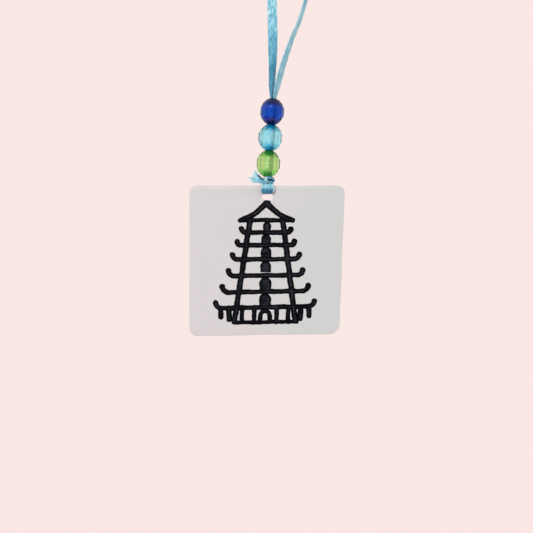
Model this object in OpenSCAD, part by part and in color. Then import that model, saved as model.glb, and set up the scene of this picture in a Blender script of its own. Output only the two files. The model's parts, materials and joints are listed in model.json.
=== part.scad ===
// Souvenir ornament: a white plastic tile with a line drawing of a tiered pagoda, hung by a satin
// ribbon that runs up through three faceted beads and ends in a long hanging loop.
// The origin is where a hook touches the top inside of the loop. +Z is up, and the tile faces -Y.

/* [Tile] */
// Width of the tile along its top edge
tile_top_w = 52; // [45:0.2:60]
// Width of the tile along its bottom edge, which the hand cut made a little shorter
tile_bottom_w = 50.1; // [45:0.2:60]
// Height of the tile along its left side
tile_left_h = 50.4; // [48:0.2:60]
// Height of the tile along its right side
tile_right_h = 49.7; // [48:0.2:60]
// Thickness of the tile
tile_t = 1.5; // [1:0.1:1.7]
// Corner radius of the tile
tile_corner_r = 2.5; // [1:0.1:5]
// Radius of the bottom right corner, which is cut rounder than the others
tile_round_corner_r = 3.6; // [1:0.1:5]
// Radius of the hole for the ribbon
hole_r = 1.78; // [1.7:0.01:1.9]
// Distance from the top edge of the tile to the centre of the hole
hole_drop = 3.6; // [3.5:0.1:4]

/* [Drawing] */
// Width of a pen stroke
stroke = 1.6; // [1:0.1:2]
// Thickness of the ink layer
ink_t = 0.08; // [0.05:0.01:0.15]
// Number of eaves below the roof
eaves = 6; // [3:1:6]

/* [Beads] */
// Diameter across the corners of a bead's middle band
bead_d = 8; // [7:0.1:9]
// Length of a bead along its bore
bead_l = 8.6; // [8:0.1:9]
// Facets around a bead
bead_sides = 12; // [8:1:14]
// Radius of a bead's bore
bore_r = 1; // [0.95:0.01:1.05]
// Gap between one bead and the next
bead_gap = 0.1; // [0.05:0.05:0.2]
// Lean of the string of beads from the vertical
string_lean = 4.2; // [0:0.1:6]

/* [Ribbon] */
// Width of the ribbon
ribbon_w = 3.2; // [3:0.1:3.5]
// Thickness of the hanging loop
ribbon_t = 0.4; // [0.3:0.05:0.5]

/* [Hidden] */
$fn = 96;

ribbon_blue = "LightSkyBlue";
ink_black = "#16161e";

loop_h = 80;             // from the hook down to the top bead, as the loop's route has it

// The string of beads
bead_pitch = bead_l + bead_gap;
string_l = 3 * bead_l + 2 * bead_gap;
core_r = bore_r - 0.1;   // both strands of ribbon, squeezed together in the bore
core_top = 0.4;          // the core starts this far inside the top bead
core_end = 1;            // and stops this far above the lower mouth
strand_gap = 0.1;        // between the two strands
low_x = -string_l * sin(string_lean);
low_z = -loop_h - string_l * cos(string_lean);

// The knot, which the tie's two arms hug
knot_r = 1;
knot_flat = 3.3;         // length of its round middle
knot_l = 5;
knot_end_r = 0.45;
knot_x = low_x;
knot_z = low_z - knot_r - 0.3;
neck_r = 0.7;            // ribbon between the knot and the inside of the green bead
neck_up = 0.8;

// The tile's place
top_z = low_z - 2.85;
hole_z = top_z - hole_drop;
tile_left = knot_x - 26;

// The tie, a band of ribbon through the hole and round the web above it
tie_w = 3;
tie_t = 0.35;
tie_in = knot_r + 0.1;   // half the space between its arms
tie_fit = 0.08;          // between the band and the wall of the hole
tie_band = 0.7;          // thickness of the folded band in the hole
tie_hook = 20;           // degrees that each arm wraps above the knot's middle

// Tails
tail_t = 0.3;
tail_root = -knot_l / 2; // they meet the knot's end face here

// The loop's route in X and Z from the top bead up the left strand, over the hook and down the
// right strand, with the turn of the ribbon's width out of the plane of the loop in degrees
loop_route = [
    [-0.4, -79.4, 50], [-0.4, -76, 48], [-0.2, -70, 42], [-0.1, -63, 18], [-0.2, -55, 0],
    [-0.4, -47, 4], [-0.8, -38, 22], [-1.2, -28, 48], [-1.7, -18, 74], [-2, -9, 88],
    [-2, -4, 90], [-1.5, -1, 90], [0, 0.2, 90], [1.8, -0.8, 90], [3.8, -3.2, 90],
    [6.2, -7, 92], [8.8, -12.5, 95], [11, -19, 98], [12.6, -26, 101], [13.2, -33, 104],
    [12.6, -40, 106], [10.9, -47, 108], [8.7, -54, 112], [6.2, -60, 116], [4.5, -65, 120],
    [2.9, -70, 124], [1.6, -75, 128], [0.5, -79.4, 130]
];
route_steps = 2;         // rings between one route point and the next
mouth_taper = 6;         // the ribbon narrows over this height above the bead's mouth
mouth_w = 1.5;
mouth_t = 0.7;

// Points -------------------------------------------------------------------------------------

// A Catmull-Rom curve through four points, at u from 0 to 1 between the middle two
function curve(a, b, c, d, u) =
    0.5 * (2 * b + (c - a) * u + (2 * a - 5 * b + 4 * c - d) * u * u
        + (3 * b - a - 3 * c + d) * u * u * u);

function along(route, steps) = let (last = len(route) - 1) [
    for (i = [0 : last - 1]) for (k = [0 : steps - 1])
        curve(route[max(i - 1, 0)], route[i], route[i + 1], route[min(i + 2, last)], k / steps),
    route[last]
];

// The arc that rounds the corner at b between the sides to a and to c
function rounded(a, b, c, r, n = 12) = let (
    to_a = (a - b) / norm(a - b),
    to_c = (c - b) / norm(c - b),
    half = acos(to_a * to_c) / 2,
    middle = (to_a + to_c) / norm(to_a + to_c),
    centre = b + middle * r / sin(half),
    from = b + to_a * r / tan(half) - centre,
    to = b + to_c * r / tan(half) - centre,
    start = atan2(from.y, from.x),
    turn = ((atan2(to.y, to.x) - start + 540) % 360) - 180
) [for (k = [0 : n]) centre + r * [cos(start + turn * k / n), sin(start + turn * k / n)]];

// Ribbon -------------------------------------------------------------------------------------

// Half the profile's width and thickness in a flat octagon
function flat_octagon(w, t) = [
    [w / 2, t / 4], [w / 2 - t / 2, t / 2], [-w / 2 + t / 2, t / 2], [-w / 2, t / 4],
    [-w / 2, -t / 4], [-w / 2 + t / 2, -t / 2], [w / 2 - t / 2, -t / 2], [w / 2, -t / 4]
];

module ribbon_sweep(route) {
    places = along(route, route_steps);
    last = len(places) - 1;
    points = [
        for (i = [0 : last]) let (
            step = places[min(i + 1, last)] - places[max(i - 1, 0)],
            along_x = step.x / norm([step.x, step.y]),
            along_z = step.y / norm([step.x, step.y]),
            turn = places[i].z,
            open = min(1, (places[i].y + loop_h) / mouth_taper),
            w = mouth_w + (ribbon_w - mouth_w) * open,
            t = mouth_t + (ribbon_t - mouth_t) * open
        ) for (q = flat_octagon(w, t)) let (
            in_plane = q.x * cos(turn) - q.y * sin(turn),
            across = q.x * sin(turn) + q.y * cos(turn)
        ) [
            places[i].x + in_plane * along_z, across, places[i].y - in_plane * along_x
        ]
    ];
    faces = [
        [for (k = [0 : 7]) k],
        [for (k = [7 : -1 : 0]) last * 8 + k],
        for (i = [0 : last - 1]) for (k = [0 : 7])
            let (a = i * 8 + k, b = i * 8 + (k + 1) % 8) each [[a, a + 8, b], [b, a + 8, b + 8]]
    ];
    polyhedron(points, faces);
}

module ribbon_loop() color(ribbon_blue) ribbon_sweep(loop_route);

// Moves its children onto the string's axis, this far down from the top bead's upper mouth
module on_string(down) translate([0, 0, -loop_h]) rotate([0, string_lean, 0]) translate([0, 0, -down])
    children();

module ribbon_core() color(ribbon_blue) on_string(string_l - core_end)
    difference() {
        cylinder(h = string_l - core_end - core_top, r = core_r);
        translate([-strand_gap / 2, -bore_r, -1]) cube([strand_gap, 2 * bore_r, string_l + 2]);
    }

module ribbon_knot() color(ribbon_blue) translate([knot_x, 0, knot_z]) {
    rotate([0, 90, 0]) rotate_extrude() polygon([
        [0, -knot_l / 2], [knot_end_r, -knot_l / 2], [knot_r, -knot_flat / 2],
        [knot_r, knot_flat / 2], [knot_end_r, knot_l / 2], [0, knot_l / 2]
    ]);
    cylinder(h = low_z + neck_up - knot_z, r = neck_r);
}

// A cut end of ribbon that stands out from the knot's left end face, from an outline in X and Z
module tail(outline, y) color(ribbon_blue)
    translate([knot_x, y, knot_z]) rotate([90, 0, 0]) linear_extrude(tail_t) polygon(outline);

module ribbon_tail_upper()
    tail([[tail_root, 0.4], [tail_root, -0.3], [-5, 2.1], [-4.3, 3.5], [-3.3, 1.8]], tail_t);

module ribbon_tail_lower()
    tail([[tail_root, 0.4], [tail_root, -0.5], [-4.4, -0.7], [-6.4, 0.3], [-5.2, 1.5]], 0);

module ribbon_tie() color(ribbon_blue) translate([knot_x, 0, 0]) {
    arm_low = hole_z + 0.4;
    for (side = [-1, 1])
        translate([-tie_w / 2, side * (tie_in + tie_t / 2) - tie_t / 2, arm_low])
            cube([tie_w, tie_t, knot_z - arm_low]);
    // The arms' tops, curled round the knot
    translate([0, 0, knot_z]) rotate([90, 0, 90]) translate([0, 0, -tie_w / 2])
        linear_extrude(tie_w) difference() {
            circle(tie_in + tie_t);
            circle(tie_in);
            translate([-2 * tie_in, -4 * tie_in]) square([4 * tie_in, 4 * tie_in]);
            polygon([[0, 0], 4 * [cos(tie_hook), sin(tie_hook)], [0, 9],
                4 * [-cos(tie_hook), sin(tie_hook)]]);
        }
    // The band through the hole
    band_r = hole_r - tie_fit;
    translate([0, tie_in + tie_t, hole_z]) rotate([90, 0, 0])
        linear_extrude(2 * (tie_in + tie_t)) intersection() {
            difference() {
                circle(band_r);
                circle(band_r - tie_band);
            }
            translate([-tie_w / 2, 0.4]) square([tie_w, band_r]);
        }
}

// Beads --------------------------------------------------------------------------------------

// A ring's height, radius and turn, as shares of half the length, of the radius and of a facet
bead_rings = [
    [-1, 0.37, 0], [-0.87, 0.6, 0.5], [-0.62, 0.83, 0], [-0.28, 1, 0.5],
    [0.28, 1, 0.5], [0.62, 0.83, 0], [0.87, 0.6, 0.5], [1, 0.37, 0]
];

module bead(place, turn) on_string(place * bead_pitch + bead_l / 2) rotate([0, 0, turn]) {
    n = bead_sides;
    last = len(bead_rings) - 1;
    points = [
        for (ring = bead_rings) for (k = [0 : n - 1]) let (a = 360 * (k + ring[2]) / n)
            [bead_d / 2 * ring[1] * cos(a), bead_d / 2 * ring[1] * sin(a), bead_l / 2 * ring[0]]
    ];
    // Turned rings are joined with triangles, and the two middle rings with upright facets
    faces = [
        [for (k = [0 : n - 1]) k],
        [for (k = [n - 1 : -1 : 0]) last * n + k],
        for (i = [0 : last - 1]) for (k = [0 : n - 1]) let (
            a = i * n + k, b = i * n + (k + 1) % n, c = a + n, d = b + n,
            lower_turned = bead_rings[i][2] > bead_rings[i + 1][2],
            same = bead_rings[i][2] == bead_rings[i + 1][2]
        ) each same ? [[a, c, d, b]] : lower_turned ? [[a, c, d], [a, d, b]] : [[a, c, b], [b, c, d]]
    ];
    difference() {
        polyhedron(points, faces);
        cylinder(h = bead_l + 2, r = bore_r, center = true);
    }
}

module bead_dark_blue() color("#1032aa") bead(0, 9);
module bead_light_blue() color("#82d7e1") bead(1, 26);
module bead_green() color("#afd782") bead(2, 2);

// Tile ---------------------------------------------------------------------------------------

module tile() color("#ddd6d6") translate([0, tile_t / 2, 0]) rotate([90, 0, 0])
    linear_extrude(tile_t) difference() {
        corners = [
            [tile_left, top_z], [tile_left, top_z - tile_left_h],
            [tile_left + tile_bottom_w, top_z - tile_right_h], [tile_left + tile_top_w, top_z]
        ];
        radii = [tile_corner_r, tile_corner_r, tile_round_corner_r, tile_corner_r];
        polygon([
            for (i = [0 : 3])
                each rounded(corners[(i + 3) % 4], corners[i], corners[(i + 1) % 4], radii[i])
        ]);
        translate([knot_x, hole_z]) circle(hole_r);
    }

// Drawing, with its origin at the middle of the tile's top edge ----------------------------------

half = stroke / 2;
roof_z = -11.7;
roof_w = 9.55;
roof_top = -5.1;
roof_curve_r = 17.7;     // outer edge of the hollow roof slopes
roof_curve_at = [13.8, 6.1];
base_z = -45.7;
base_w = 11;
post_w = 1.8;
column_w = 1.5;
stub_w = 1.75;

function eave_z(i) = -15.8 - 4.3 * i - 0.136 * i * i;
function eave_w(i) = 9.15 + 1.35 * i + 0.056 * i * i;
function bar_above(i) = i == 0 ? roof_z : eave_z(i - 1);
post_top_x = 5.45;
post_slope = 0.143;
function post_x(z) = post_top_x + (roof_z - z) * post_slope;

module both_sides() {
    children();
    mirror([1, 0]) children();
}

module bar(w, z) translate([-w, z - half]) square([2 * w, stroke]);

// The end of an eave, curled up to the right
module curl(w, z, r) {
    translate([w - half - r, z + r]) intersection() {
        difference() {
            circle(r + half);
            circle(r - half);
        }
        translate([0, -2 * r - half]) square(2 * r + half);
    }
    translate([w - half, z + r]) circle(half);
}

module eave(i) {
    r = 1.1 + 0.14 * i;
    bar(eave_w(i) - half - r, eave_z(i));
    both_sides() curl(eave_w(i), eave_z(i), r);
}

module roof() {
    both_sides() {
        intersection() {
            translate(roof_curve_at) difference() {
                circle(roof_curve_r + stroke);
                circle(roof_curve_r);
            }
            translate([0, roof_z]) square([roof_w, roof_top - roof_z]);
        }
        translate([roof_w - half, roof_z]) circle(half);
    }
    bar(roof_w - half, roof_z);
}

// A side post, which leans out towards the base
module post(side) polygon([
    [side * (post_x(roof_z) - post_w / 2), roof_z], [side * (post_x(roof_z) + post_w / 2), roof_z],
    [side * (post_x(base_z) + post_w / 2), base_z], [side * (post_x(base_z) - post_w / 2), base_z]
]);

// A dark window with a domed top, from just under one bar to the next bar below
module window(i) {
    w = 2.7 + 0.22 * i;
    dome = bar_above(i) - half - w / 2 + 0.3;
    translate([0, dome]) circle(w / 2);
    translate([-w / 2, eave_z(i)]) square([w, dome - eave_z(i)]);
}

// An upright stroke with a round lower end, hanging from the lowest eave
module stub(x, low) {
    r = stub_w / 2;
    translate([x - r, low + r]) square([stub_w, eave_z(eaves - 1) - low - r]);
    translate([x, low + r]) circle(r);
}

module base() {
    last = eave_z(eaves - 1);
    bar(base_w - half, base_z);
    both_sides() {
        translate([base_w - half, base_z]) circle(half);
        stub(14.65, -44.4);
        stub(11.95, -45.3);
        for (x = [3.65, 7.7]) translate([x - column_w / 2, base_z]) square([column_w, last - base_z]);
    }
    // The arched door, with its opening left clear
    difference() {
        union() {
            translate([0, last - half - 1.9]) circle(2.3);
            translate([-2.3, base_z]) square([4.6, last - half - 1.9 - base_z]);
        }
        translate([0, -43.35]) circle(0.75);
        translate([-0.75, base_z + half]) square([1.5, -43.35 - base_z - half]);
    }
}

module pagoda_drawing() color(ink_black) translate([knot_x - 0.3, -tile_t / 2, top_z])
    rotate([90, 0, 0]) linear_extrude(ink_t) union() {
        roof();
        for (i = [0 : eaves - 1]) {
            eave(i);
            window(i);
        }
        base();
        for (side = [-1, 1]) post(side);
    }

ribbon_loop();
ribbon_core();
bead_dark_blue();
bead_light_blue();
bead_green();
ribbon_knot();
ribbon_tail_upper();
ribbon_tail_lower();
ribbon_tie();
tile();
pagoda_drawing();
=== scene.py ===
"""Looks for the hanging tile ornament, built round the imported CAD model.

Shapes are worked out in millimetres and turned into metres by MM. X is to the right, Z is up, and
the camera looks along +Y at the side of the tile with the drawing.
"""

import json
import math

import bmesh
import bpy
import numpy as np
from mathutils import Matrix, Vector, noise


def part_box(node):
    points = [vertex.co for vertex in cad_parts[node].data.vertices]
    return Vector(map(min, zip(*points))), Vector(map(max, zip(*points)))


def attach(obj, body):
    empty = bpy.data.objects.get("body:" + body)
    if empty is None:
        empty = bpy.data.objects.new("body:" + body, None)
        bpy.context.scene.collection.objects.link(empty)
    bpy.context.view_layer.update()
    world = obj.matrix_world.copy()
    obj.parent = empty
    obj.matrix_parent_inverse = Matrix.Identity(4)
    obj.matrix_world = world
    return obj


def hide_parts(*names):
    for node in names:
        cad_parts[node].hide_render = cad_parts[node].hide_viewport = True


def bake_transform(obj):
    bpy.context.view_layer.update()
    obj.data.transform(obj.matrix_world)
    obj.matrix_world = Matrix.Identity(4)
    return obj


MM = 0.001

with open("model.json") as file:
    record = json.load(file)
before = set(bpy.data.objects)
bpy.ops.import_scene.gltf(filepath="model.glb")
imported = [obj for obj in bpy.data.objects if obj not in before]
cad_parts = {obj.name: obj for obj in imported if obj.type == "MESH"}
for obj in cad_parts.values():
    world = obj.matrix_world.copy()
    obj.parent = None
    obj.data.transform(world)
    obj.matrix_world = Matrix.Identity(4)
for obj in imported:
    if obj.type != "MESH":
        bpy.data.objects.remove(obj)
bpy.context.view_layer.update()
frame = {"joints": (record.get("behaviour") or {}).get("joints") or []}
joints = {j["name"]: j for j in frame["joints"]}


def joint_at(name):
    """A joint's place in millimetres."""
    return np.array(joints[name]["pos_m"]) / MM


def box_mm(node):
    low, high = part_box(node)
    return np.array(low) / MM, np.array(high) / MM


MOUTH = joint_at("string_side_swing")
KNOT = joint_at("tile_fore_aft_swing")
HOLE = joint_at("tile_rock")
STRING_AXIS = np.array(joints["bead_green_spin"]["axis"])
TILE_LOW, TILE_HIGH = box_mm("tile")
TILE_HALF_T = 0.75
HOLE_R = 1.78
RIBBON_W = 3.2
RIBBON_T = 0.24
BEAD_R = 4.0
BEAD_HALF = 4.3
BEAD_GAP = 0.1
BORE_R = 1.0


# Camera, light and floor -------------------------------------------------------------------------

VIEW_SIZE = 177.7 * MM
VIEW_CENTRE = Vector((MOUTH[0] - 2.2, 0, MOUTH[2] - 55.9)) * MM
BACKDROP = (0.956, 0.807, 0.776)
FLOOR_R = 0.2


def add_camera():
    data = bpy.data.cameras.new("camera")
    data.lens = 110
    data.sensor_width = 36
    data.clip_start = 0.01
    distance = VIEW_SIZE * data.lens / data.sensor_width
    camera = bpy.data.objects.new("camera", data)
    camera.location = VIEW_CENTRE - Vector((0, distance, 0))
    camera.rotation_euler = (math.pi / 2, 0, 0)
    bpy.context.scene.collection.objects.link(camera)
    bpy.context.scene.camera = camera


def add_area(name, place, size, power, mirrored=True):
    """A soft square lamp that faces the middle of the view.

    Gloss and clear plastic show it only if it is mirrored.
    """
    data = bpy.data.lights.new(name, "AREA")
    data.size = size
    data.energy = power
    lamp = bpy.data.objects.new(name, data)
    lamp.location = VIEW_CENTRE + Vector(place)
    lamp.rotation_euler = (VIEW_CENTRE - lamp.location).to_track_quat("-Z", "Y").to_euler()
    lamp.visible_glossy = mirrored
    lamp.visible_transmission = mirrored
    bpy.context.scene.collection.objects.link(lamp)


def add_light():
    """Soft studio lamps and a pale room, which the camera sees as one plain colour."""
    add_area("key", (-0.4, -0.6, 0.4), 0.22, 4.0)
    add_area("fill", (0.65, -0.55, 0.05), 1.0, 2.95, mirrored=False)
    add_area("back", (0.3, 0.7, 0.45), 1.0, 1.4, mirrored=False)
    world = bpy.data.worlds.new("studio")
    bpy.context.scene.world = world
    world.use_nodes = True
    nodes, link = world.node_tree.nodes, world.node_tree.links.new
    nodes.clear()
    out = nodes.new("ShaderNodeOutputWorld")
    mix = nodes.new("ShaderNodeMixShader")
    room = nodes.new("ShaderNodeBackground")
    seen = nodes.new("ShaderNodeBackground")
    ray = nodes.new("ShaderNodeLightPath")
    place = nodes.new("ShaderNodeTexCoord")
    split = nodes.new("ShaderNodeSeparateXYZ")
    height = nodes.new("ShaderNodeMath")
    depth = nodes.new("ShaderNodeMath")
    ramp = nodes.new("ShaderNodeValToRGB")
    # The room is bright behind the ornament, dimmer above it and dim below and in front of it, so
    # that facets and gloss have light and dark to show. Each direction's height and depth have a
    # share in how bright it is
    for node, share in ((height, 0.17), (depth, 0.36)):
        node.operation = "MULTIPLY_ADD"
        node.inputs[1].default_value = share
    height.inputs[2].default_value = 0.5
    ramp.color_ramp.elements[0].position = 0.24
    ramp.color_ramp.elements[0].color = (0.24, 0.23, 0.23, 1)
    ramp.color_ramp.elements[1].position = 0.82
    ramp.color_ramp.elements[1].color = (1, 0.94, 0.92, 1)
    link(place.outputs["Generated"], split.inputs[0])
    link(split.outputs["Z"], height.inputs[0])
    link(split.outputs["Y"], depth.inputs[0])
    link(height.outputs[0], depth.inputs[2])
    link(depth.outputs[0], ramp.inputs[0])
    link(ramp.outputs[0], room.inputs["Color"])
    room.inputs["Strength"].default_value = 0.85
    seen.inputs["Color"].default_value = (*BACKDROP, 1)
    link(ray.outputs["Is Camera Ray"], mix.inputs[0])
    link(room.outputs[0], mix.inputs[1])
    link(seen.outputs[0], mix.inputs[2])
    link(mix.outputs[0], out.inputs[0])


def add_floor():
    """A plain pale floor well below the ornament, which hangs clear of it."""
    bpy.ops.mesh.primitive_circle_add(vertices=96, radius=FLOOR_R, fill_type="NGON")
    floor = bpy.context.object
    floor.name = "floor"
    floor.location = (VIEW_CENTRE.x, 0, TILE_LOW[2] * MM - 0.1)
    floor.data.materials.append(floor_material())


# Materials ---------------------------------------------------------------------------------------


class Nodes:
    """A material's node tree, with short calls to add and join nodes."""

    def __init__(self, name):
        self.material = bpy.data.materials.new(name)
        self.material.use_nodes = True
        self.tree = self.material.node_tree
        self.shader = self.tree.nodes["Principled BSDF"]

    def add(self, kind, **settings):
        node = self.tree.nodes.new("ShaderNode" + kind)
        for key, value in settings.items():
            setattr(node, key, value)
        return node

    def join(self, start, end):
        self.tree.links.new(start, end)

    def math(self, operation, *values):
        node = self.add("Math", operation=operation)
        for socket, value in zip(node.inputs, values):
            if isinstance(value, (int, float)):
                socket.default_value = value
            else:
                self.join(value, socket)
        return node.outputs[0]

    def coordinates(self, stretch=(1, 1, 1), uv=None, turn=0):
        """The piece's own coordinates in millimetres, or a UV map laid out in millimetres."""
        source = self.add("UVMap", uv_map=uv) if uv else self.add("TexCoord")
        scale = self.add("Mapping", vector_type="TEXTURE" if turn else "POINT")
        if turn:
            # Turned first, and then stretched
            scale.inputs["Rotation"].default_value = (0, 0, turn)
            stretch = [1 / s for s in stretch]
        unit = 1 if uv else 1 / MM
        scale.inputs["Scale"].default_value = [unit * s for s in stretch]
        self.join(source.outputs["UV" if uv else "Object"], scale.inputs[0])
        return scale.outputs[0]

    def noise(self, where, scale, detail=2, roughness=0.5):
        node = self.add("TexNoise")
        node.inputs["Scale"].default_value = scale
        node.inputs["Detail"].default_value = detail
        node.inputs["Roughness"].default_value = roughness
        self.join(where, node.inputs["Vector"])
        return node.outputs["Fac"]

    def ramp(self, value, stops):
        """A colour ramp with stops of (position, colour)."""
        node = self.add("ValToRGB")
        elements = node.color_ramp.elements
        while len(elements) < len(stops):
            elements.new(0.5)
        for element, (position, colour) in zip(elements, stops):
            element.position = position
            element.color = (*colour, 1)
        self.join(value, node.inputs[0])
        return node.outputs[0]

    def range(self, value, low, high):
        node = self.add("MapRange")
        node.inputs["To Min"].default_value = low
        node.inputs["To Max"].default_value = high
        self.join(value, node.inputs["Value"])
        return node.outputs[0]

    def bump(self, height, strength, distance_mm):
        node = self.add("Bump")
        node.inputs["Strength"].default_value = strength
        node.inputs["Distance"].default_value = distance_mm * MM
        self.join(height, node.inputs["Height"])
        self.join(node.outputs[0], self.shader.inputs["Normal"])

    def set(self, **values):
        for name, value in values.items():
            self.shader.inputs[name.replace("_", " ")].default_value = value


def floor_material():
    n = Nodes("floor")
    n.set(Roughness=0.9)
    n.shader.inputs["Base Color"].default_value = (0.83, 0.76, 0.74, 1)
    # The floor fades into the room at its rim
    gradient = n.add("TexGradient", gradient_type="SPHERICAL")
    where = n.add("TexCoord")
    scale = n.add("Mapping")
    scale.inputs["Scale"].default_value = [1 / FLOOR_R] * 3
    n.join(where.outputs["Object"], scale.inputs[0])
    n.join(scale.outputs[0], gradient.inputs[0])
    fade = n.ramp(gradient.outputs["Fac"], [(0.0, (0, 0, 0)), (0.6, (1, 1, 1))])
    clear = n.add("BsdfTransparent")
    mix = n.add("MixShader")
    n.join(fade, mix.inputs[0])
    n.join(clear.outputs[0], mix.inputs[1])
    n.join(n.shader.outputs[0], mix.inputs[2])
    n.join(mix.outputs[0], n.tree.nodes["Material Output"].inputs[0])
    return n.material


def satin_material():
    """Light blue satin, whose threads and fine creases shine in slanted streaks.

    Its folds are darkened to deep teal as painted shade, and its colour is lifted along the
    streaks as painted sheen. Each piece also carries a painted sheen or shade of its own.
    """
    n = Nodes("satin")
    threads = n.noise(n.coordinates((0.5, 9, 1), uv="weave", turn=0.12), 1, 3, 0.6)
    streaks = n.noise(n.coordinates((0.4, 2.8, 1), uv="weave", turn=-0.22), 1, 3, 0.65)
    cloud = n.noise(n.coordinates((0.22, 0.5, 1), uv="weave"), 1, 2)
    tone = n.math("ADD", n.math("MULTIPLY", threads, 0.35), n.math("MULTIPLY", cloud, 0.3))
    # The slanted streaks also lift the colour, as painted sheen along them
    tone = n.math("ADD", tone, n.math("MULTIPLY", streaks, 0.35))
    # Each piece carries its own painted sheen or painted shade: lighter where its threads would
    # catch the lamps, darker in the knot's folds and under the bead
    lightness = n.add("Attribute", attribute_name="lightness").outputs["Fac"]
    tone = n.math("ADD", tone, lightness)
    # The near-white end of the ramp is painted sheen and its dark end painted shade, with the
    # satin's own blue between
    colour = n.ramp(tone, [
        (0.22, (0.003, 0.060, 0.160)),
        (0.36, (0.030, 0.230, 0.420)),
        (0.47, (0.090, 0.420, 0.610)),
        (0.56, (0.230, 0.630, 0.790)),
        (0.66, (0.560, 0.900, 0.960)),
        (0.80, (0.850, 0.970, 1.000)),
    ])
    # Painted shade: ambient occlusion darkens folds and crevices to deep teal, less so where a piece
    # is painted lighter
    hollow = n.add("AmbientOcclusion", samples=8)
    hollow.inputs["Distance"].default_value = 0.9 * MM
    blend = n.add("Mix", data_type="RGBA")
    painted_fold_shade_mask = n.ramp(hollow.outputs["AO"], [(0.25, (0, 0, 0)), (0.8, (1, 1, 1))])
    n.join(n.math("ADD", painted_fold_shade_mask, lightness), blend.inputs["Factor"])
    blend.inputs[6].default_value = (0.004, 0.085, 0.175, 1)
    n.join(colour, blend.inputs[7])
    n.join(blend.outputs[2], n.shader.inputs["Base Color"])
    n.join(n.range(streaks, 0.40, 0.20), n.shader.inputs["Roughness"])
    weft = n.add("TexWave", wave_type="BANDS", bands_direction="X")
    weft.inputs["Scale"].default_value = 1.3
    n.join(n.coordinates(uv="weave"), weft.inputs["Vector"])
    height = n.math("ADD", n.math("MULTIPLY", threads, 0.5),
                    n.math("MULTIPLY", weft.outputs["Fac"], 0.12))
    n.bump(n.math("ADD", height, streaks), 0.7, 0.14)
    n.set(Sheen_Weight=0.15, Sheen_Roughness=0.4, Specular_IOR_Level=0.9)
    return n.material


# How much of a bead's tint goes into the light that it lets through, from none at 0 to all at 1
SHADOW_TINT = 0.1


def acrylic_material(name, tint, deep):
    """Clear tinted acrylic, deeper in colour towards its mouths.

    Lamps shine through it onto the ribbon.
    """
    n = Nodes(name)
    where = n.coordinates()
    height = n.add("Attribute", attribute_name="height").outputs["Fac"]
    cloud = n.math("MULTIPLY", n.noise(where, 0.8, 3), 0.25)
    colour = n.ramp(n.math("ADD", height, cloud), [(0.45, tint), (0.72, deep)])
    n.join(colour, n.shader.inputs["Base Color"])
    n.join(n.range(n.noise(where, 1.6, 3), 0.02, 0.10), n.shader.inputs["Roughness"])
    n.bump(n.noise(where, 0.7, 2), 0.1, 0.05)
    n.set(Transmission_Weight=1.0, IOR=1.49)
    through = n.add("BsdfTransparent")
    through.inputs["Color"].default_value = (*[c**SHADOW_TINT for c in tint], 1)
    ray, mix = n.add("LightPath"), n.add("MixShader")
    n.join(ray.outputs["Is Shadow Ray"], mix.inputs[0])
    n.join(n.shader.outputs[0], mix.inputs[1])
    n.join(through.outputs[0], mix.inputs[2])
    n.join(mix.outputs[0], n.tree.nodes["Material Output"].inputs[0])
    return n.material


def bore_material(name, milk, mouth):
    """The rough wall of a moulded bore.

    It is a milky column inside the bead. At the mouths it takes the colour of the ribbon that
    fills them, darkened as painted shade.
    """
    n = Nodes(name)
    where = n.coordinates()
    mottle = n.noise(where, 1.2, 3, 0.6)
    height = n.add("Attribute", attribute_name="height").outputs["Fac"]
    tone = n.math("ADD", height, n.math("MULTIPLY", mottle, 0.3))
    # Painted shade at the mouths: the ribbon's colour, darkened
    n.join(n.ramp(tone, [(0.5, milk), (0.75, mouth)]), n.shader.inputs["Base Color"])
    n.join(n.range(mottle, 0.35, 0.6), n.shader.inputs["Roughness"])
    n.set(IOR=1.3)
    return n.material


def tile_material():
    """White frosted plastic sheet, milky, with faint smears.

    It is warmer on its left and greener on its right.
    """
    n = Nodes("frosted_plastic")
    where = n.coordinates()
    split = n.add("SeparateXYZ")
    n.join(where, split.inputs[0])
    smear = n.noise(n.coordinates((1, 1, 0.45)), 0.07, 3, 0.55)
    mottle = n.noise(where, 0.45, 4, 0.6)
    sideways = n.math("MULTIPLY_ADD", split.outputs["X"], 0.01, 0.5)
    drift = n.math("ADD", sideways, n.math("MULTIPLY", smear, 0.6))
    colour = n.ramp(n.math("ADD", drift, n.math("MULTIPLY", mottle, 0.2)), [
        (0.72, (0.745, 0.708, 0.718)), (0.92, (0.728, 0.716, 0.716)), (1.0, (0.710, 0.722, 0.714)),
    ])
    n.join(colour, n.shader.inputs["Base Color"])
    n.join(n.range(mottle, 0.4, 0.56), n.shader.inputs["Roughness"])
    n.bump(n.noise(where, 6, 4, 0.7), 0.12, 0.02)
    n.set(Subsurface_Weight=0.2, Subsurface_Scale=0.001, Specular_IOR_Level=0.35)
    n.shader.inputs["Subsurface Radius"].default_value = (1, 0.9, 0.85)
    return n.material


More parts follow.
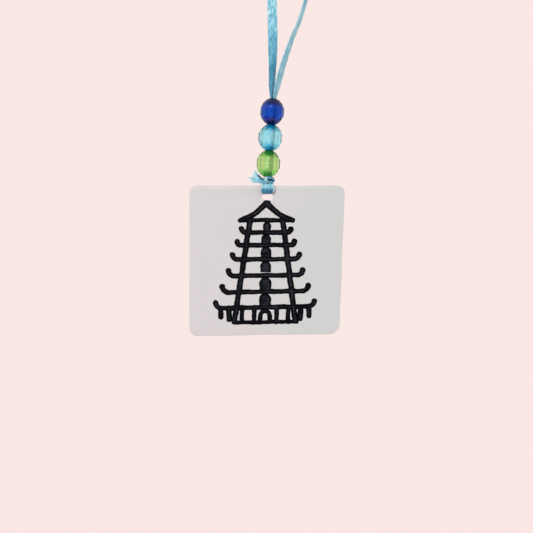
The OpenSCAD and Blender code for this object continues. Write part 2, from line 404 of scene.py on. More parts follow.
def ink_material():
    """Black marker ink, darkest along the edges of a stroke and dry in streaks down its middle."""
    n = Nodes("ink")
    inside = n.add("Attribute", attribute_name="from_edge").outputs["Fac"]
    dry = n.math("ADD", n.noise(n.coordinates((0.45, 1, 2.6)), 1, 4, 0.7),
                 n.math("MULTIPLY", n.noise(n.coordinates(), 0.28, 2), 0.6))
    fine = n.noise(n.coordinates(), 4, 3, 0.6)
    middle = n.ramp(inside, [(0.2, (0, 0, 0)), (0.7, (1, 1, 1))])
    tone = n.math("MULTIPLY", n.math("ADD", dry, n.math("MULTIPLY", fine, 0.15)), middle)
    colour = n.ramp(tone, [
        (0.62, (0.0010, 0.0010, 0.0025)), (0.82, (0.0060, 0.0060, 0.0110)),
        (0.96, (0.0270, 0.0270, 0.0370)),
    ])
    n.join(colour, n.shader.inputs["Base Color"])
    n.join(n.range(dry, 0.4, 0.6), n.shader.inputs["Roughness"])
    n.bump(fine, 0.25, 0.03)
    n.set(Specular_IOR_Level=0.07)
    return n.material


# Meshes ------------------------------------------------------------------------------------------


def make_piece(name, points, faces, material, smooth=True):
    """A mesh object from points in millimetres."""
    mesh = bpy.data.meshes.new(name)
    mesh.from_pydata([tuple(p) for p in np.asarray(points) * MM], [], faces)
    mesh.materials.append(material)
    piece = bpy.data.objects.new(name, mesh)
    bpy.context.scene.collection.objects.link(piece)
    fix = bmesh.new()
    fix.from_mesh(mesh)
    bmesh.ops.recalc_face_normals(fix, faces=fix.faces)
    fix.to_mesh(mesh)
    fix.free()
    for polygon in mesh.polygons:
        polygon.use_smooth = smooth
    return piece


def curve_through(route, steps):
    """Points on a Catmull-Rom curve through the route, with this many steps between its points."""
    route = np.asarray(route, float)
    last = len(route) - 1
    found = []
    for i in range(last):
        a, b, c, d = (route[j] for j in (max(i - 1, 0), i, i + 1, min(i + 2, last)))
        for u in np.arange(steps) / steps:
            found.append(0.5 * (2 * b + (c - a) * u + (2 * a - 5 * b + 4 * c - d) * u**2
                                + (3 * b - a - 3 * c + d) * u**3))
    return np.array([*found, route[last]])


def unit(vectors):
    return vectors / np.linalg.norm(vectors, axis=-1, keepdims=True)


# The selvedge is thicker than the satin, and thin at its rim. Both begin at a share of the width
SELVEDGE_FROM = 0.42
RIM_FROM = 0.49
# A slanted end evens out over this length
SLANT_REACH = 1.5


def ribbon_piece(name, line, across, width, material, cup=0.25, pleat=0.0, folds=1.5, crinkle=0.0,
                 grain=(0.55, 2.4), columns=17, cut=(0.0, 0.0), light=0.0, seed=0.0):
    """A strip of satin ribbon with real thickness and a selvedge along each edge.

    line is its centreline, and across the way its width points, one for each ring. cup is the angle
    that the width bends through. pleat is the depth of its gathers, with this many folds across the
    width. crinkle is the height of its creases, whose grain is their number in a millimetre along
    the ribbon and in its whole width. columns is the number of points across each face. cut slants
    its two ends, as the distance that one edge runs past the other. light makes its satin
    lighter as painted sheen or darker as painted shade, and seed moves its creases.
    """
    count = len(line)
    width, cup, pleat, crinkle, light = (np.broadcast_to(v, count).astype(float)
                                         for v in (width, cup, pleat, crinkle, light))
    tangent = unit(np.gradient(line, axis=0))
    across = unit(across - tangent * np.sum(across * tangent, axis=1, keepdims=True))
    normal = np.cross(across, tangent)
    travel = np.concatenate([[0], np.cumsum(np.linalg.norm(np.diff(line, axis=0), axis=1))])
    share = np.linspace(-0.5, 0.5, columns)
    points, weave = [], []
    for i in range(count):
        bend = max(cup[i], 1e-3)
        radius = width[i] / bend
        slant = (cut[0] * max(0, 1 - travel[i] / SLANT_REACH)
                 + cut[1] * max(0, 1 - (travel[-1] - travel[i]) / SLANT_REACH))
        for side in (1, -1):
            for u in share if side > 0 else share[::-1]:
                angle = bend * u
                sideways = radius * math.sin(angle)
                out = radius * (math.cos(angle) - math.cos(bend / 2) * 0.5 - 0.5)
                out += pleat[i] * math.cos(2 * math.pi * folds * u)
                crease = Vector((travel[i] * grain[0] + seed, u * grain[1], seed))
                out += crinkle[i] * noise.noise(crease)
                skin = side * RIBBON_T / 2
                if abs(u) > RIM_FROM:
                    skin *= 0.7
                elif abs(u) > SELVEDGE_FROM:
                    skin *= 1.35
                outward = normal[i] * math.cos(angle) + across[i] * math.sin(angle)
                points.append(line[i] + across[i] * sideways + normal[i] * out + outward * skin
                              + tangent[i] * slant * u)
                weave.append((travel[i], u * RIBBON_W))
    ring = 2 * columns
    faces = []
    for i in range(count - 1):
        for k in range(ring):
            a, b = i * ring + k, i * ring + (k + 1) % ring
            faces.append((a, b, b + ring, a + ring))
    for start in (0, (count - 1) * ring):
        for k in range(columns - 1):
            faces.append((start + k, start + k + 1, start + ring - 2 - k, start + ring - 1 - k))
    piece = make_piece(name, points, faces, material)
    layer = piece.data.uv_layers.new(name="weave")
    for loop in piece.data.loops:
        layer.data[loop.index].uv = weave[loop.vertex_index]
    # Painted sheen and shade, one value for each ring
    lightness = piece.data.attributes.new("lightness", "FLOAT", "POINT")
    lightness.data.foreach_set("value", np.repeat(light, ring).astype(np.float32))
    return piece


def strip(name, route, material, width, across=(0, 1, 0), steps=8, **look):
    """A strip of ribbon through a route given from the knot's centre.

    width and look may be lists with one value for each point of the route, and across may be a list
    of directions.
    """
    route = np.asarray(route, float)
    count = (len(route) - 1) * steps + 1
    spread = np.linspace(0, len(route) - 1, count)

    def along(value):
        if np.ndim(value) == 0:
            return value
        return np.interp(spread, np.arange(len(route)), value)

    line = KNOT + curve_through(route, steps)
    if np.ndim(across[0]):
        across = np.stack([along(list(axis)) for axis in zip(*across)], axis=1)
    else:
        across = np.tile(np.array(across, float), (count, 1))
    for key in ("cup", "pleat", "crinkle", "light"):
        if key in look:
            look[key] = along(look[key])
    return ribbon_piece(name, line, across, along(width), material, **look)


# Hanging loop ------------------------------------------------------------------------------------

# Its route in X and Z, in metres, as in the CAD, with the turn of its width in degrees
LOOP_ROUTE = [
    (-0.0004, -0.0794, 50), (-0.0004, -0.076, 48), (-0.0002, -0.070, 42), (-0.0001, -0.063, 18),
    (-0.0002, -0.055, 0), (-0.0004, -0.047, 4), (-0.0008, -0.038, 22), (-0.0012, -0.028, 48),
    (-0.0017, -0.018, 74), (-0.002, -0.009, 88), (-0.002, -0.004, 90), (-0.0015, -0.001, 90),
    (0, 0.0002, 90), (0.0018, -0.0008, 90), (0.0038, -0.0032, 90), (0.0062, -0.007, 92),
    (0.0088, -0.0125, 95), (0.011, -0.019, 98), (0.0126, -0.026, 101), (0.0132, -0.033, 104),
    (0.0126, -0.040, 106), (0.0109, -0.047, 108), (0.0087, -0.054, 112), (0.0062, -0.060, 116),
    (0.0045, -0.065, 120), (0.0029, -0.070, 124), (0.0016, -0.075, 128), (0.0005, -0.0794, 130),
]


def add_hanging_loop(satin):
    """The free ribbon, which goes up from the top bead, over the hook and down again."""
    in_bore = [(-0.00036, -0.0806, 52), *LOOP_ROUTE, (0.00036, -0.0806, 130)]
    steps = 22
    places = curve_through(in_bore, steps)
    line = np.stack([places[:, 0] / MM, np.zeros(len(places)), places[:, 1] / MM], axis=1)
    tangent = unit(np.gradient(line, axis=0))
    in_plane = np.stack([tangent[:, 2], np.zeros(len(places)), -tangent[:, 0]], axis=1)
    turn = np.radians(places[:, 2])[:, None]
    across = in_plane * np.cos(turn) + np.array([0, 1, 0]) * np.sin(turn)
    # The strands gather into folds where they enter the top bead
    height = line[:, 2] - MOUTH[2]
    gather_reach = 7
    gather = np.clip(1 - height / gather_reach, 0, 1) ** 1.5
    # The left strand is creased where it was once folded away
    crease_height, crease_spread = 31, 11
    first_half = np.arange(len(places)) < len(places) / 2
    creased = first_half * np.exp(-((height - crease_height) / crease_spread) ** 2)
    # Painted sheen and shade: the left strand is shaded dark up to 11 mm above the bead and
    # lifted over the next 22 mm where it faces the lamps, and the right strand is lifted as sheen
    light = np.where(first_half, -0.04 + 0.13 * np.clip(height / 22 - 0.5, 0, 1), 0.09)
    loop = ribbon_piece("hanging_loop", line, across, RIBBON_W - 1.75 * gather, satin,
                        cup=0.35 + 0.5 * gather, pleat=0.18 * gather, crinkle=0.1 + 0.3 * creased,
                        grain=(0.6, 3.2), columns=21, light=light, seed=3.1)
    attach(loop, "hanger")
    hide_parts("ribbon_loop")


# Strands in the beads ----------------------------------------------------------------------------


def add_core(satin):
    """Two strands, folded small, that run through all the bores and fill out at the mouths."""
    down = np.linspace(-0.2, 25.3, 150)
    pitch = 2 * BEAD_HALF + BEAD_GAP
    mouth_reach = 2.6
    from_mouth = np.abs((down + pitch / 2) % pitch - pitch / 2)
    full = np.clip(1 - from_mouth / mouth_reach, 0, 1)
    centre = MOUTH - np.outer(down, STRING_AXIS)
    # The two strands turn slowly round each other on their way down
    turn_each_mm = 0.12
    spin = down * turn_each_mm
    level = np.array([STRING_AXIS[2], 0, -STRING_AXIS[0]])
    back = np.array([0.0, 1, 0])
    sideways = np.outer(np.cos(spin), level) + np.outer(np.sin(spin), back)
    across = np.outer(-np.sin(spin), level) + np.outer(np.cos(spin), back)
    apart = (0.22 + 0.28 * full)[:, None]
    # The strands are painted lighter than the loop, as painted sheen inside the beads
    for side, letter in ((-1, "a"), (1, "b")):
        strand = ribbon_piece(f"strand_{letter}", centre + side * apart * sideways, across,
                              0.7 + 1.2 * full, satin, cup=0.4, pleat=0.06 + 0.1 * full, folds=2,
                              crinkle=0.05, columns=13, light=0.12, seed=side * 7.7)
        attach(strand, "bead_string")
        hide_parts("ribbon_core")


# Beads -------------------------------------------------------------------------------------------

BEAD_SIDES = 12
BORE_SIDES = 40
# Height and radius as shares of the bead's own, and turn as a share of a facet
BEAD_RINGS = [
    (-1, 0.37, 0), (-0.87, 0.6, 0.5), (-0.62, 0.83, 0), (-0.28, 1, 0.5),
    (0.28, 1, 0.5), (0.62, 0.83, 0), (0.87, 0.6, 0.5), (1, 0.37, 0),
]
# Height and radius of the bore, as shares, from its flared lower mouth to its upper one
BORE_RINGS = [
    (-1, 1.38), (-0.9, 1.25), (-0.75, 1.1), (-0.6, 1.02), (-0.45, 1),
    (0.45, 1), (0.6, 1.02), (0.75, 1.1), (0.9, 1.25), (1, 1.38),
]
# The bore is rough up to this share of the bead's half height
ROUGH_SHARE = 0.9


def bead_mesh(turn):
    """A faceted bead about the origin, its bore along Z, with slightly blunt facet edges."""
    shape = bmesh.new()
    rings = []
    for height, radius, twist in BEAD_RINGS:
        angles = (np.arange(BEAD_SIDES) + twist) * 2 * math.pi / BEAD_SIDES + turn
        rings.append([shape.verts.new((BEAD_R * radius * math.cos(a), BEAD_R * radius * math.sin(a),
                                       BEAD_HALF * height)) for a in angles])
    for (low, high), (lower, upper) in zip(zip(rings, rings[1:]), zip(BEAD_RINGS, BEAD_RINGS[1:])):
        for k in range(BEAD_SIDES):
            j = (k + 1) % BEAD_SIDES
            if lower[2] == upper[2]:
                shape.faces.new((low[k], low[j], high[j], high[k]))
            elif lower[2] < upper[2]:
                shape.faces.new((low[k], low[j], high[k]))
                shape.faces.new((low[j], high[j], high[k]))
            else:
                shape.faces.new((low[k], high[j], high[k]))
                shape.faces.new((low[k], low[j], high[j]))
    bmesh.ops.bevel(shape, geom=shape.edges[:], offset=0.07, segments=2, affect="EDGES",
                    profile=0.5)
    bore = []
    around = np.arange(BORE_SIDES) * 2 * math.pi / BORE_SIDES
    for height, radius in BORE_RINGS:
        bore.append([shape.verts.new((BORE_R * radius * math.cos(a), BORE_R * radius * math.sin(a),
                                      BEAD_HALF * height)) for a in around])
    for low, high in zip(bore, bore[1:]):
        for k in range(BORE_SIDES):
            j = (k + 1) % BORE_SIDES
            wall = shape.faces.new((low[k], high[k], high[j], low[j]))
            wall.smooth = True
            # The bore is rough but for its flared ends
            from_middle = abs(low[k].co.z + high[k].co.z) / 2
            wall.material_index = int(from_middle < ROUGH_SHARE * BEAD_HALF)
    # A flat ring joins each mouth to the outer facets
    open_edges = [e for e in shape.edges if len(e.link_faces) == 1]
    for end in (-1, 1):
        bmesh.ops.bridge_loops(shape, edges=[e for e in open_edges if e.verts[0].co.z * end > 0])
    bmesh.ops.recalc_face_normals(shape, faces=shape.faces)
    for vertex in shape.verts:
        vertex.co *= MM
    return shape


def add_bead(body, slot, turn, tint, deep, milk, mouth):
    """A bead of acrylic that is tint in its middle and deep at its ends.

    Its bore is milk inside it and mouth at its ends. turn is the angle that its facets stand at.
    """
    shape = bead_mesh(turn)
    heights = [abs(vertex.co.z) / (BEAD_HALF * MM) for vertex in shape.verts]
    tilt = Vector((0, 0, 1)).rotation_difference(Vector(STRING_AXIS)).to_matrix().to_4x4()
    shape.transform(Matrix.Translation(Vector(joints[f"{body}_spin"]["pos_m"])) @ tilt)
    mesh = bpy.data.meshes.new(f"faceted_{body}")
    shape.to_mesh(mesh)
    shape.free()
    mesh.materials.append(acrylic_material(slot, tint, deep))
    mesh.materials.append(bore_material(f"{slot}_bore", milk, mouth))
    mesh.attributes.new("height", "FLOAT", "POINT").data.foreach_set("value", heights)
    bead = bpy.data.objects.new(f"faceted_{body}", mesh)
    bpy.context.scene.collection.objects.link(bead)
    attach(bead, body)
    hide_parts(body)


# Knot, tails and tie -----------------------------------------------------------------------------


def add_knot(satin):
    """The ribbon wraps once round itself under the green bead, with a hollow fold at its right."""
    turn = np.linspace(0.1 * math.pi, 2.5 * math.pi, 90)
    rise = 0.15 * np.cos(turn) + 0.04 * (turn - turn.mean())
    loop_round = np.stack([1.75 * np.cos(turn), 0.95 * np.sin(turn), rise], axis=1)
    lean = np.tile([0.25, 0, 1.0], (len(turn), 1))
    # Painted shade and highlight: the wrap is painted darker as shade inside the knot, the crease
    # strip darker still as shade between the tails and the knot, and the fold lighter at its top as
    # a painted highlight
    pieces = [
        ribbon_piece("knot_wrap", KNOT + loop_round, lean, 2.1, satin, cup=2.2, crinkle=0.3,
                     grain=(0.8, 2.5), light=-0.22, seed=5.5),
        strip("knot_fold",
              [(-1.3, -1.0, -0.3), (-0.75, -1.2, 0.65), (0.4, -1.35, 0.95), (1.45, -1.3, 0.8),
               (2.1, -1.1, 0.25), (2.15, -1.05, -0.3), (1.55, -1.15, -0.65), (0.7, -1.25, -0.7),
               (0.0, -1.3, -0.55)],
              satin, [0.9, 0.9, 0.8, 0.8, 0.9, 0.9, 0.8, 0.7, 0.5],
              across=[(0.7, 0.3, 0.4), (0.5, 0.4, 0.8), (0.1, 0.6, 0.8), (-0.3, 0.6, 0.7),
                      (-0.6, 0.7, 0.3), (-0.6, 0.7, -0.2), (-0.2, 0.7, -0.6), (0.1, 0.7, -0.6),
                      (0.4, 0.7, -0.5)],
              cup=1.1, crinkle=0.12,
              light=[-0.02, 0.22, 0.02, -0.08, -0.06, -0.02, 0.0, 0.04, 0.05], seed=9.0),
        strip("knot_cross",
              [(-0.1, -1.45, 0.45), (-0.4, -1.6, 0.0), (-0.7, -1.65, -0.45), (-1.0, -1.5, -0.75),
               (-1.35, -1.0, -0.75), (-1.5, 0.2, -0.7)],
              satin, [0.9, 1.1, 1.2, 1.2, 1.0, 0.8], across=(0.9, 0.1, -0.5),
              cup=1.3, pleat=0.1, folds=2, crinkle=0.15, light=0.08, seed=2.5),
        strip("knot_crease",
              [(-3.15, -0.75, 1.75), (-2.6, -1.0, 1.1), (-2.1, -1.25, 0.45), (-1.6, -1.4, -0.2),
               (-1.3, -1.3, -0.65)],
              satin, [0.5, 0.8, 1.0, 0.9, 0.6], across=(0.8, -0.35, 0.5),
              cup=0.9, pleat=0.08, folds=1, crinkle=0.1, light=[-0.2, -0.3, -0.3, -0.26, -0.15],
              seed=3.5),
        strip("knot_neck",
              [(0.0, 0.0, -0.4), (-0.05, -0.05, 0.5), (0.0, 0.0, 1.2), (0.05, 0.0, 1.9)],
              satin, [1.9, 1.6, 1.3, 1.2], across=(1, 0.3, 0), cup=0.6, pleat=0.2, folds=2,
              seed=1.5),
    ]
    for piece in pieces:
        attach(piece, "knot")
        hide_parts("ribbon_knot")


def add_tails(satin):
    """Two short cut ends that fan out to the left of the knot."""
    # Painted shade and sheen: each tail is painted darker at its root by the knot and lighter
    # towards its cut end
    upper = strip("tail_upper",
                  [(-0.9, -1.1, -0.55), (-1.8, -1.3, -0.1), (-2.65, -1.2, 0.45),
                   (-3.4, -0.95, 1.05), (-4.1, -0.8, 1.8), (-4.6, -0.7, 2.45)],
                  satin, [1.2, 1.3, 1.5, 1.8, 2.2, 2.4], across=(0.7, 0.3, 0.75),
                  cup=[1.2, 1.2, 0.9, 0.7, 0.6, 0.5], pleat=[0.15, 0.2, 0.24, 0.2, 0.12, 0.08],
                  folds=1.5, crinkle=0.15, columns=29, cut=(0, 1.0),
                  light=[-0.05, 0.0, 0.06, 0.1, 0.12, 0.14], seed=1.0)
    lower = strip("tail_lower",
                  [(-0.6, -1.2, -0.4), (-1.5, -1.5, -0.35), (-2.6, -1.4, -0.2),
                   (-3.6, -1.15, -0.05), (-4.6, -0.95, 0.05), (-5.6, -0.85, 0.15)],
                  satin, [1.0, 1.2, 1.5, 1.7, 1.8, 1.8], across=(0.1, 0.3, 1),
                  cup=[1.2, 1.1, 0.8, 0.6, 0.5, 0.4], pleat=[0.15, 0.2, 0.25, 0.24, 0.2, 0.15],
                  folds=1, crinkle=0.15, columns=29, cut=(0, 1.7),
                  light=[-0.05, -0.02, 0.04, 0.08, 0.1, 0.12], seed=4.0)
    for tail in (upper, lower):
        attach(tail, "knot")
        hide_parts(f"ribbon_{tail.name}")


def add_tie(satin):
    """The wrap that hangs the tile from the knot.

    Gathered strands run from the knot down both faces of the tile, and a folded band holds them and
    passes through the hole.
    """
    inner_front = [(0.05, -0.75, 0.4), (0.1, -1.15, -0.4), (0.05, -1.3, -1.3), (0, -1.2, -2.2),
                   (0, -1.12, -3.1), (0, -0.85, -3.85), (0, -0.3, -4.05)]
    outer_front = [(-0.05, -1.0, -2.4), (-0.05, -1.3, -2.85), (-0.05, -1.48, -3.4),
                   (-0.02, -1.4, -4.0), (0, -1.0, -4.38), (0, -0.4, -4.47)]

    def both_faces(front):
        return [*front, *((-x, -y, z) for x, y, z in reversed(front))]

    def mirrored(values):
        return [*values, *reversed(values)]

    # Painted shade and sheen: the strands are painted dark where they leave the knot and lighter
    # below it, and the band darker as shade where it bends into the hole
    strands = strip("tie_strands", both_faces(inner_front), satin,
                    mirrored([2.6, 3.9, 4.2, 4.0, 3.6, 2.5, 2.2]), across=(1, 0, 0),
                    cup=mirrored([1.4, 1.2, 0.9, 0.7, 0.6, 0.3, 0.3]),
                    pleat=mirrored([0.15, 0.2, 0.22, 0.2, 0.12, 0.05, 0.05]), folds=3.4,
                    crinkle=0.12, grain=(0.3, 6), columns=41,
                    light=mirrored([-0.34, -0.26, 0.14, 0.12, 0.0, -0.1, -0.1]), seed=2.0)
    band = strip("tie_band", both_faces(outer_front), satin,
                 mirrored([3.6, 3.95, 4.0, 3.6, 3.0, 2.85]), across=(1, 0, 0.03),
                 cup=mirrored([0.9, 0.8, 0.7, 0.5, 0.25, 0.2]),
                 crinkle=mirrored([0.2, 0.3, 0.35, 0.25, 0.1, 0.05]), grain=(1.2, 7.0), columns=41,
                 light=mirrored([0.02, -0.1, -0.16, -0.14, -0.12, -0.12]), seed=6.0)
    # The edge strips carry painted glints where their folds stand out
    edge_route = [(1.75, -1.2, -1.7), (1.95, -1.3, -2.2), (1.9, -1.5, -2.6), (1.75, -1.3, -3.0),
                  (1.85, -1.5, -3.4), (1.6, -1.2, -3.9)]
    edges = []
    for side, letter in ((1, "front"), (-1, "back")):
        route = [(side * x, side * y, z) for x, y, z in edge_route]
        edges.append(strip(f"tie_edge_{letter}", route, satin, [0.5, 0.8, 0.9, 0.7, 0.8, 0.5],
                           across=(0.75, -0.6 * side, 0.1), cup=1.4, crinkle=0.05,
                           light=[-0.1, 0.2, 0.3, -0.1, 0.3, -0.05], seed=8.0))
    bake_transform(strands)
    for piece in (band, *edges):
        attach(piece, "tie")
    for piece in (strands, band, *edges):
        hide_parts("ribbon_tie")


# Tile --------------------------------------------------------------------------------------------


def tile_outline():
    """The hand-cut outline in X and Z, with round corners and slightly wavy sides."""
    left, right, low, high = TILE_LOW[0], TILE_HIGH[0], TILE_LOW[2], TILE_HIGH[2]
    # The low right corner stands in and up from the box's, and is rounder than the others
    lean, rise = 1.9, 0.7
    corners = [(left, high, 2.4), (left, low, 2.5), (right - lean, low + rise, 3.6),
               (right, high, 2.5)]
    found = []
    for i, (x, z, r) in enumerate(corners):
        here = np.array([x, z])
        before = unit(np.array(corners[i - 1][:2]) - here)
        after = unit(np.array(corners[(i + 1) % 4][:2]) - here)
        half = math.acos(before @ after) / 2
        centre = here + unit(before + after) * r / math.sin(half)
        start = math.atan2(*(here + before * r / math.tan(half) - centre)[::-1])
        end = math.atan2(*(here + after * r / math.tan(half) - centre)[::-1])
        turn = (end - start + math.pi) % (2 * math.pi) - math.pi
        found += [centre + r * np.array([math.cos(start + turn * t), math.sin(start + turn * t)])
                  for t in np.linspace(0, 1, 14)]
    # Points every millimetre along the sides, each moved in a little by a slow wave
    outline = []
    middle = np.array([(left + right) / 2, (low + high) / 2])
    for a, b in zip(found, found[1:] + found[:1]):
        steps = max(1, int(np.linalg.norm(b - a)))
        for t in range(steps):
            p = a + (b - a) * t / steps
            wave = noise.noise(Vector((p[0] * 0.09, p[1] * 0.09, 4.0)))
            outline.append(p - unit(p - middle) * (0.1 + 0.2 * wave))
    return outline


# The visible hole is a little wider than the CAD's, for the ribbon's real thickness
HOLE_SLACK = 0.05
HOLE_SIDES = 64


def add_tile(material):
    """A plate with a softly rounded rim all round, and a hole."""
    curve = bpy.data.curves.new("tile_plate", "CURVE")
    curve.dimensions = "2D"
    curve.fill_mode = "BOTH"
    soft = 0.2
    hole_r = HOLE_R + HOLE_SLACK
    hole = [(HOLE[0] + hole_r * math.cos(a), HOLE[2] + hole_r * math.sin(a))
            for a in np.arange(HOLE_SIDES) * 2 * math.pi / HOLE_SIDES]
    for loop, grow in ((tile_outline(), -soft), (hole, soft)):
        spline = curve.splines.new("POLY")
        spline.points.add(len(loop) - 1)
        centre = np.mean(loop, axis=0)
        for point, p in zip(spline.points, loop):
            q = p + unit(np.array(p) - centre) * grow
            point.co = (q[0] * MM, q[1] * MM, 0, 1)
        spline.use_cyclic_u = True
    curve.extrude = (TILE_HALF_T - soft) * MM
    curve.bevel_depth = soft * MM
    curve.bevel_resolution = 3
    source = bpy.data.objects.new("tile_source", curve)
    bpy.context.scene.collection.objects.link(source)
    bpy.context.view_layer.update()
    evaluated = source.evaluated_get(bpy.context.evaluated_depsgraph_get())
    mesh = bpy.data.meshes.new_from_object(evaluated)
    bpy.data.objects.remove(source)
    mesh.name = "tile_plate"
    mesh.transform(Matrix.Rotation(math.pi / 2, 4, "X"))
    fix = bmesh.new()
    fix.from_mesh(mesh)
    bmesh.ops.remove_doubles(fix, verts=fix.verts, dist=0.00001)
    bmesh.ops.recalc_face_normals(fix, faces=fix.faces)
    fix.to_mesh(mesh)
    fix.free()
    mesh.materials.clear()
    mesh.materials.append(material)
    plate = bpy.data.objects.new("tile_plate", mesh)
    bpy.context.scene.collection.objects.link(plate)
    for polygon in mesh.polygons:
        polygon.use_smooth = True
    mesh.set_sharp_from_angle(angle=math.radians(40))
    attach(plate, "tile")
    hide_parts("tile")


# Drawing -----------------------------------------------------------------------------------------

# Eaves from the top down, in millimetres from the middle of the tile's top edge: height, half
# width, rise of the tips, shift to the right, and width of the window above
EAVES = [
    (-15.8, 9.15, 1.15, -0.1, 2.7), (-20.0, 10.5, 1.15, -0.2, 3.4), (-24.7, 12.05, 1.55, -0.2, 3.6),
    (-30.1, 13.25, 1.65, -0.3, 3.8), (-35.5, 15.3, 1.9, -0.4, 4.0), (-40.7, 17.35, 1.75, -0.5, 4.1),
]
# The window above this eave, counted from 0, stops short of it
SHORT_WINDOW = 3
ROOF_Z, BASE_Z = -11.7, -45.6
# Half widths of strokes
STROKE = 0.82
POST_STROKE = 0.98
COLUMN_STROKE = 0.78
# The ink's thickness at its outline, what it gains inwards, and over what distance
INK_RIM, INK_SWELL, INK_SLOPE = 0.02, 0.065, 0.22


class Pen:
    """Strokes on a grid, kept as the distance to the nearest edge, which is negative inside."""

    def __init__(self, x, z):
        # A hand-drawn line strays a little, and its edge is a little rough
        self.x = x + 0.09 * ripple(x, z, 0.16, 1) + 0.05 * ripple(x, z, 0.5, 2)
        self.z = z + 0.09 * ripple(x, z, 0.16, 3) + 0.05 * ripple(x, z, 0.5, 4)
        self.edge = np.full(x.shape, 9.0)

    def add(self, distance, bleed=0.22):
        """Joins a shape on, with ink drawn into the corner between them."""
        near = np.clip(0.5 + 0.5 * (self.edge - distance) / bleed, 0, 1)
        self.edge = self.edge * (1 - near) + distance * near - bleed * near * (1 - near)

    def line(self, a, b, width_a=STROKE, width_b=None):
        """A straight stroke with round ends, from half width_a to half width_b."""
        (ax, az), (bx, bz) = a, b
        dx, dz = bx - ax, bz - az
        square = max(dx * dx + dz * dz, 1e-9)
        share = np.clip(((self.x - ax) * dx + (self.z - az) * dz) / square, 0, 1)
        gap = np.hypot(self.x - ax - dx * share, self.z - az - dz * share)
        return gap - (width_a + ((width_b or width_a) - width_a) * share)

    def path(self, points, width_a=STROKE, width_b=None):
        """A stroke along a curve through the points."""
        width_b = width_b or width_a
        points = curve_through(points, 6)
        widths = np.linspace(width_a, width_b, len(points))
        return np.min([self.line(a, b, wa, wb) for a, b, wa, wb in
                       zip(points, points[1:], widths, widths[1:])], axis=0)

    def block(self, left, right, low, high, corner=0.2):
        """A filled rectangle."""
        over_x = np.abs(self.x - (left + right) / 2) - (right - left) / 2 + corner
        over_z = np.abs(self.z - (low + high) / 2) - (high - low) / 2 + corner
        outside = np.hypot(np.maximum(over_x, 0), np.maximum(over_z, 0))
        return outside + np.minimum(np.maximum(over_x, over_z), 0) - corner


def ripple(x, z, scale, seed):
    """Smooth unevenness from -1 to 1 or so."""
    return (np.sin(x * scale * 5.1 + seed * 1.7 + 2 * np.sin(z * scale * 3.3 + seed))
            + np.sin(z * scale * 6.3 + seed * 2.9 + 2 * np.sin(x * scale * 2.7 + seed))) / 2


def draw_pagoda(pen):
    """A tiered pagoda, drawn from the roof down to the door."""
    for side in (-1, 1):
        # Roof slopes, hollow on top
        pen.add(pen.path([(side * 0.15, -6.15), (side * 1.5, -7.45), (side * 3.4, -9.1),
                          (side * 5.8, -10.55), (side * 8.75, -11.75)], 1.08, 0.82))
    pen.add(pen.line((-8.6, ROOF_Z), (8.6, ROOF_Z), 0.76))
    pen.add(pen.block(-1.0, 1.35, -7.0, -5.2, 0.25), 0.1)
    above = ROOF_Z
    for i, (z, reach, rise, moved, window) in enumerate(EAVES):
        curl = rise / 1.15
        # The lower an eave is, the more it slopes up to the right
        level = 0.008 * i
        pen.add(pen.line((moved - reach + STROKE + curl, z - level * reach / 2),
                         (moved + reach - STROKE - curl, z + level * reach / 2)))
        for side in (-1, 1):
            end = moved + side * (reach - 0.95)
            tilt = side * level * reach / 2
            pen.add(pen.path([(end - side * (curl + 0.3), z + tilt),
                              (end - side * curl * 0.45, z + tilt + curl * 0.28),
                              (end - side * 0.1, z + tilt + curl * 0.85),
                              (end, z + tilt + rise)], STROKE, 1.0))
        # The window is a block with a domed top, and one of them stops short of its eave
        half = window / 2
        dome = above - STROKE - half + 0.25
        foot = z if i != SHORT_WINDOW else z + STROKE + 0.2
        centre = moved + (0.3 if i == 0 else 0.05)
        pen.add(np.minimum(pen.line((centre, dome), (centre, min(dome, foot + half)), half),
                           pen.block(centre - half + 0.08, centre + half - 0.08, foot, dome)), 0.12)
        above = z
    # Side posts, which lean out towards the base
    pen.add(pen.line((-5.45, ROOF_Z), (-10.7, BASE_Z + 0.25), POST_STROKE))
    pen.add(pen.line((5.45, ROOF_Z), (9.55, BASE_Z + 0.6), POST_STROKE))
    # The base, with two stubs outside each post and columns between the posts
    last = EAVES[-1][0]
    pen.add(pen.line((-10.75, BASE_Z - 0.2), (10.0, BASE_Z + 0.15), 0.7))
    for x, low, width in ((-15.2, -43.9, 0.92), (-12.5, -44.8, 0.92), (14.1, -43.4, 0.92),
                          (11.3, -44.4, 0.9)):
        pen.add(pen.line((x, last - 0.3), (x, low), width))
    for x in (-8.1, -4.05, 3.35, 7.25):
        pen.add(pen.line((x, last), (x - 0.1, BASE_Z), COLUMN_STROKE))
    # The arched door
    middle = -0.5
    arch = [(middle - 1.55, BASE_Z), (middle - 1.55, last - 2.7), (middle - 1.1, last - 1.7),
            (middle, last - 1.2), (middle + 1.1, last - 1.7), (middle + 1.55, last - 2.7),
            (middle + 1.55, BASE_Z)]
    pen.add(pen.path(arch, COLUMN_STROKE))


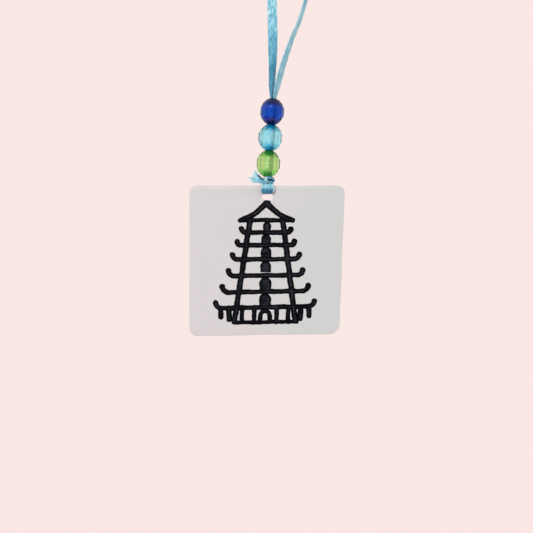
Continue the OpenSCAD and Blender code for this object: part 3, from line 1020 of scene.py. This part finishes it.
def add_drawing(material):
    """The ink is a thin layer that thins out at its edges, cut from a grid along its outline."""
    step = 0.15
    across, down = np.arange(-19, 19, step), np.arange(-47.4, -3.6, step)
    x, z = np.meshgrid(across, down, indexing="ij")
    pen = Pen(x, z)
    draw_pagoda(pen)
    edge = pen.edge + 0.03 * ripple(x, z, 1.3, 5) + 0.02 * ripple(x, z, 2.9, 6)
    inside = edge < 0
    centre = (KNOT[0] - 0.3, TILE_HIGH[2])
    places, depths, index = [], [], {}

    def corner(i, j):
        if (i, j) not in index:
            index[i, j] = len(places)
            places.append((x[i, j], z[i, j]))
            depths.append(-edge[i, j])
        return index[i, j]

    def crossing(a, b):
        """The point between two grid corners where the outline crosses, and not too near either."""
        key = (min(a, b), max(a, b))
        if key not in index:
            share = min(max(edge[a] / (edge[a] - edge[b]), 0.08), 0.92)
            index[key] = len(places)
            places.append((x[a] + (x[b] - x[a]) * share, z[a] + (z[b] - z[a]) * share))
            depths.append(0.0)
        return index[key]

    polygons, rims = [], []
    some = inside[:-1, :-1] | inside[1:, :-1] | inside[:-1, 1:] | inside[1:, 1:]
    for i, j in zip(*np.nonzero(some)):
        ring = [(i, j), (i + 1, j), (i + 1, j + 1), (i, j + 1)]
        flags = [bool(inside[c]) for c in ring]
        # Two corners that touch only across the cell make two polygons
        if flags in ([True, False, True, False], [False, True, False, True]):
            first = flags.index(True)
            for k in (first, first + 2):
                here, after, before = ring[k], ring[(k + 1) % 4], ring[k - 1]
                polygons.append([corner(*here), crossing(here, after), crossing(here, before)])
                rims.append((polygons[-1][1], polygons[-1][2]))
            continue
        shape = []
        for k in range(4):
            here, after = ring[k], ring[(k + 1) % 4]
            if flags[k]:
                shape.append(corner(*here))
            if flags[k] != flags[(k + 1) % 4]:
                shape.append(crossing(here, after))
        cuts = [v for v in shape if depths[v] == 0.0]
        if len(cuts) == 2:
            a, b = (shape.index(c) for c in cuts)
            rims.append((shape[a], shape[b]) if (a + 1) % len(shape) == b else (shape[b], shape[a]))
        polygons.append(shape)
    places, depths = np.array(places), np.array(depths)
    count = len(places)
    height = INK_RIM + INK_SWELL * np.clip(depths / INK_SLOPE, 0, 1) ** 0.5
    flat = np.stack([places[:, 0] + centre[0], np.zeros(count), places[:, 1] + centre[1]], axis=1)
    front, rear = flat.copy(), flat.copy()
    front[:, 1] = -TILE_HALF_T - height
    rear[:, 1] = -TILE_HALF_T + 0.01
    faces = polygons + [[v + count for v in reversed(shape)] for shape in polygons]
    faces += [(a, b, b + count, a + count) for a, b in rims]
    points = np.concatenate([front, rear])
    drawing = make_piece("ink_pagoda", points, faces, material)
    drawing.data.set_sharp_from_angle(angle=math.radians(50))
    layer = drawing.data.attributes.new("from_edge", "FLOAT", "POINT")
    layer.data.foreach_set("value", np.concatenate([depths, depths]).astype(np.float32))
    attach(drawing, "tile")
    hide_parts("pagoda_drawing")


# Scene, with the camera and the free ribbon first --------------------------------------------------

add_camera()
satin = satin_material()
add_hanging_loop(satin)
add_light()
add_floor()
add_core(satin)
add_bead("bead_dark_blue", "acrylic_dark_blue", turn=0.16,
         tint=(0.002, 0.072, 0.54), deep=(0.0006, 0.003, 0.16),
         milk=(0.2, 0.6, 1.0), mouth=(0.0, 0.02, 0.2))
add_bead("bead_light_blue", "acrylic_light_blue", turn=0.45,
         tint=(0.41, 0.90, 0.98), deep=(0.05, 0.50, 0.70),
         milk=(1.0, 1.0, 1.0), mouth=(0.0, 0.24, 0.40))
add_bead("bead_green", "acrylic_green", turn=0.03,
         tint=(0.59, 0.86, 0.29), deep=(0.12, 0.52, 0.04),
         milk=(1.0, 1.0, 0.88), mouth=(0.02, 0.24, 0.06))
add_knot(satin)
add_tails(satin)
add_tie(satin)
add_tile(tile_material())
add_drawing(ink_material())

bpy.context.scene.view_settings.view_transform = "Standard"
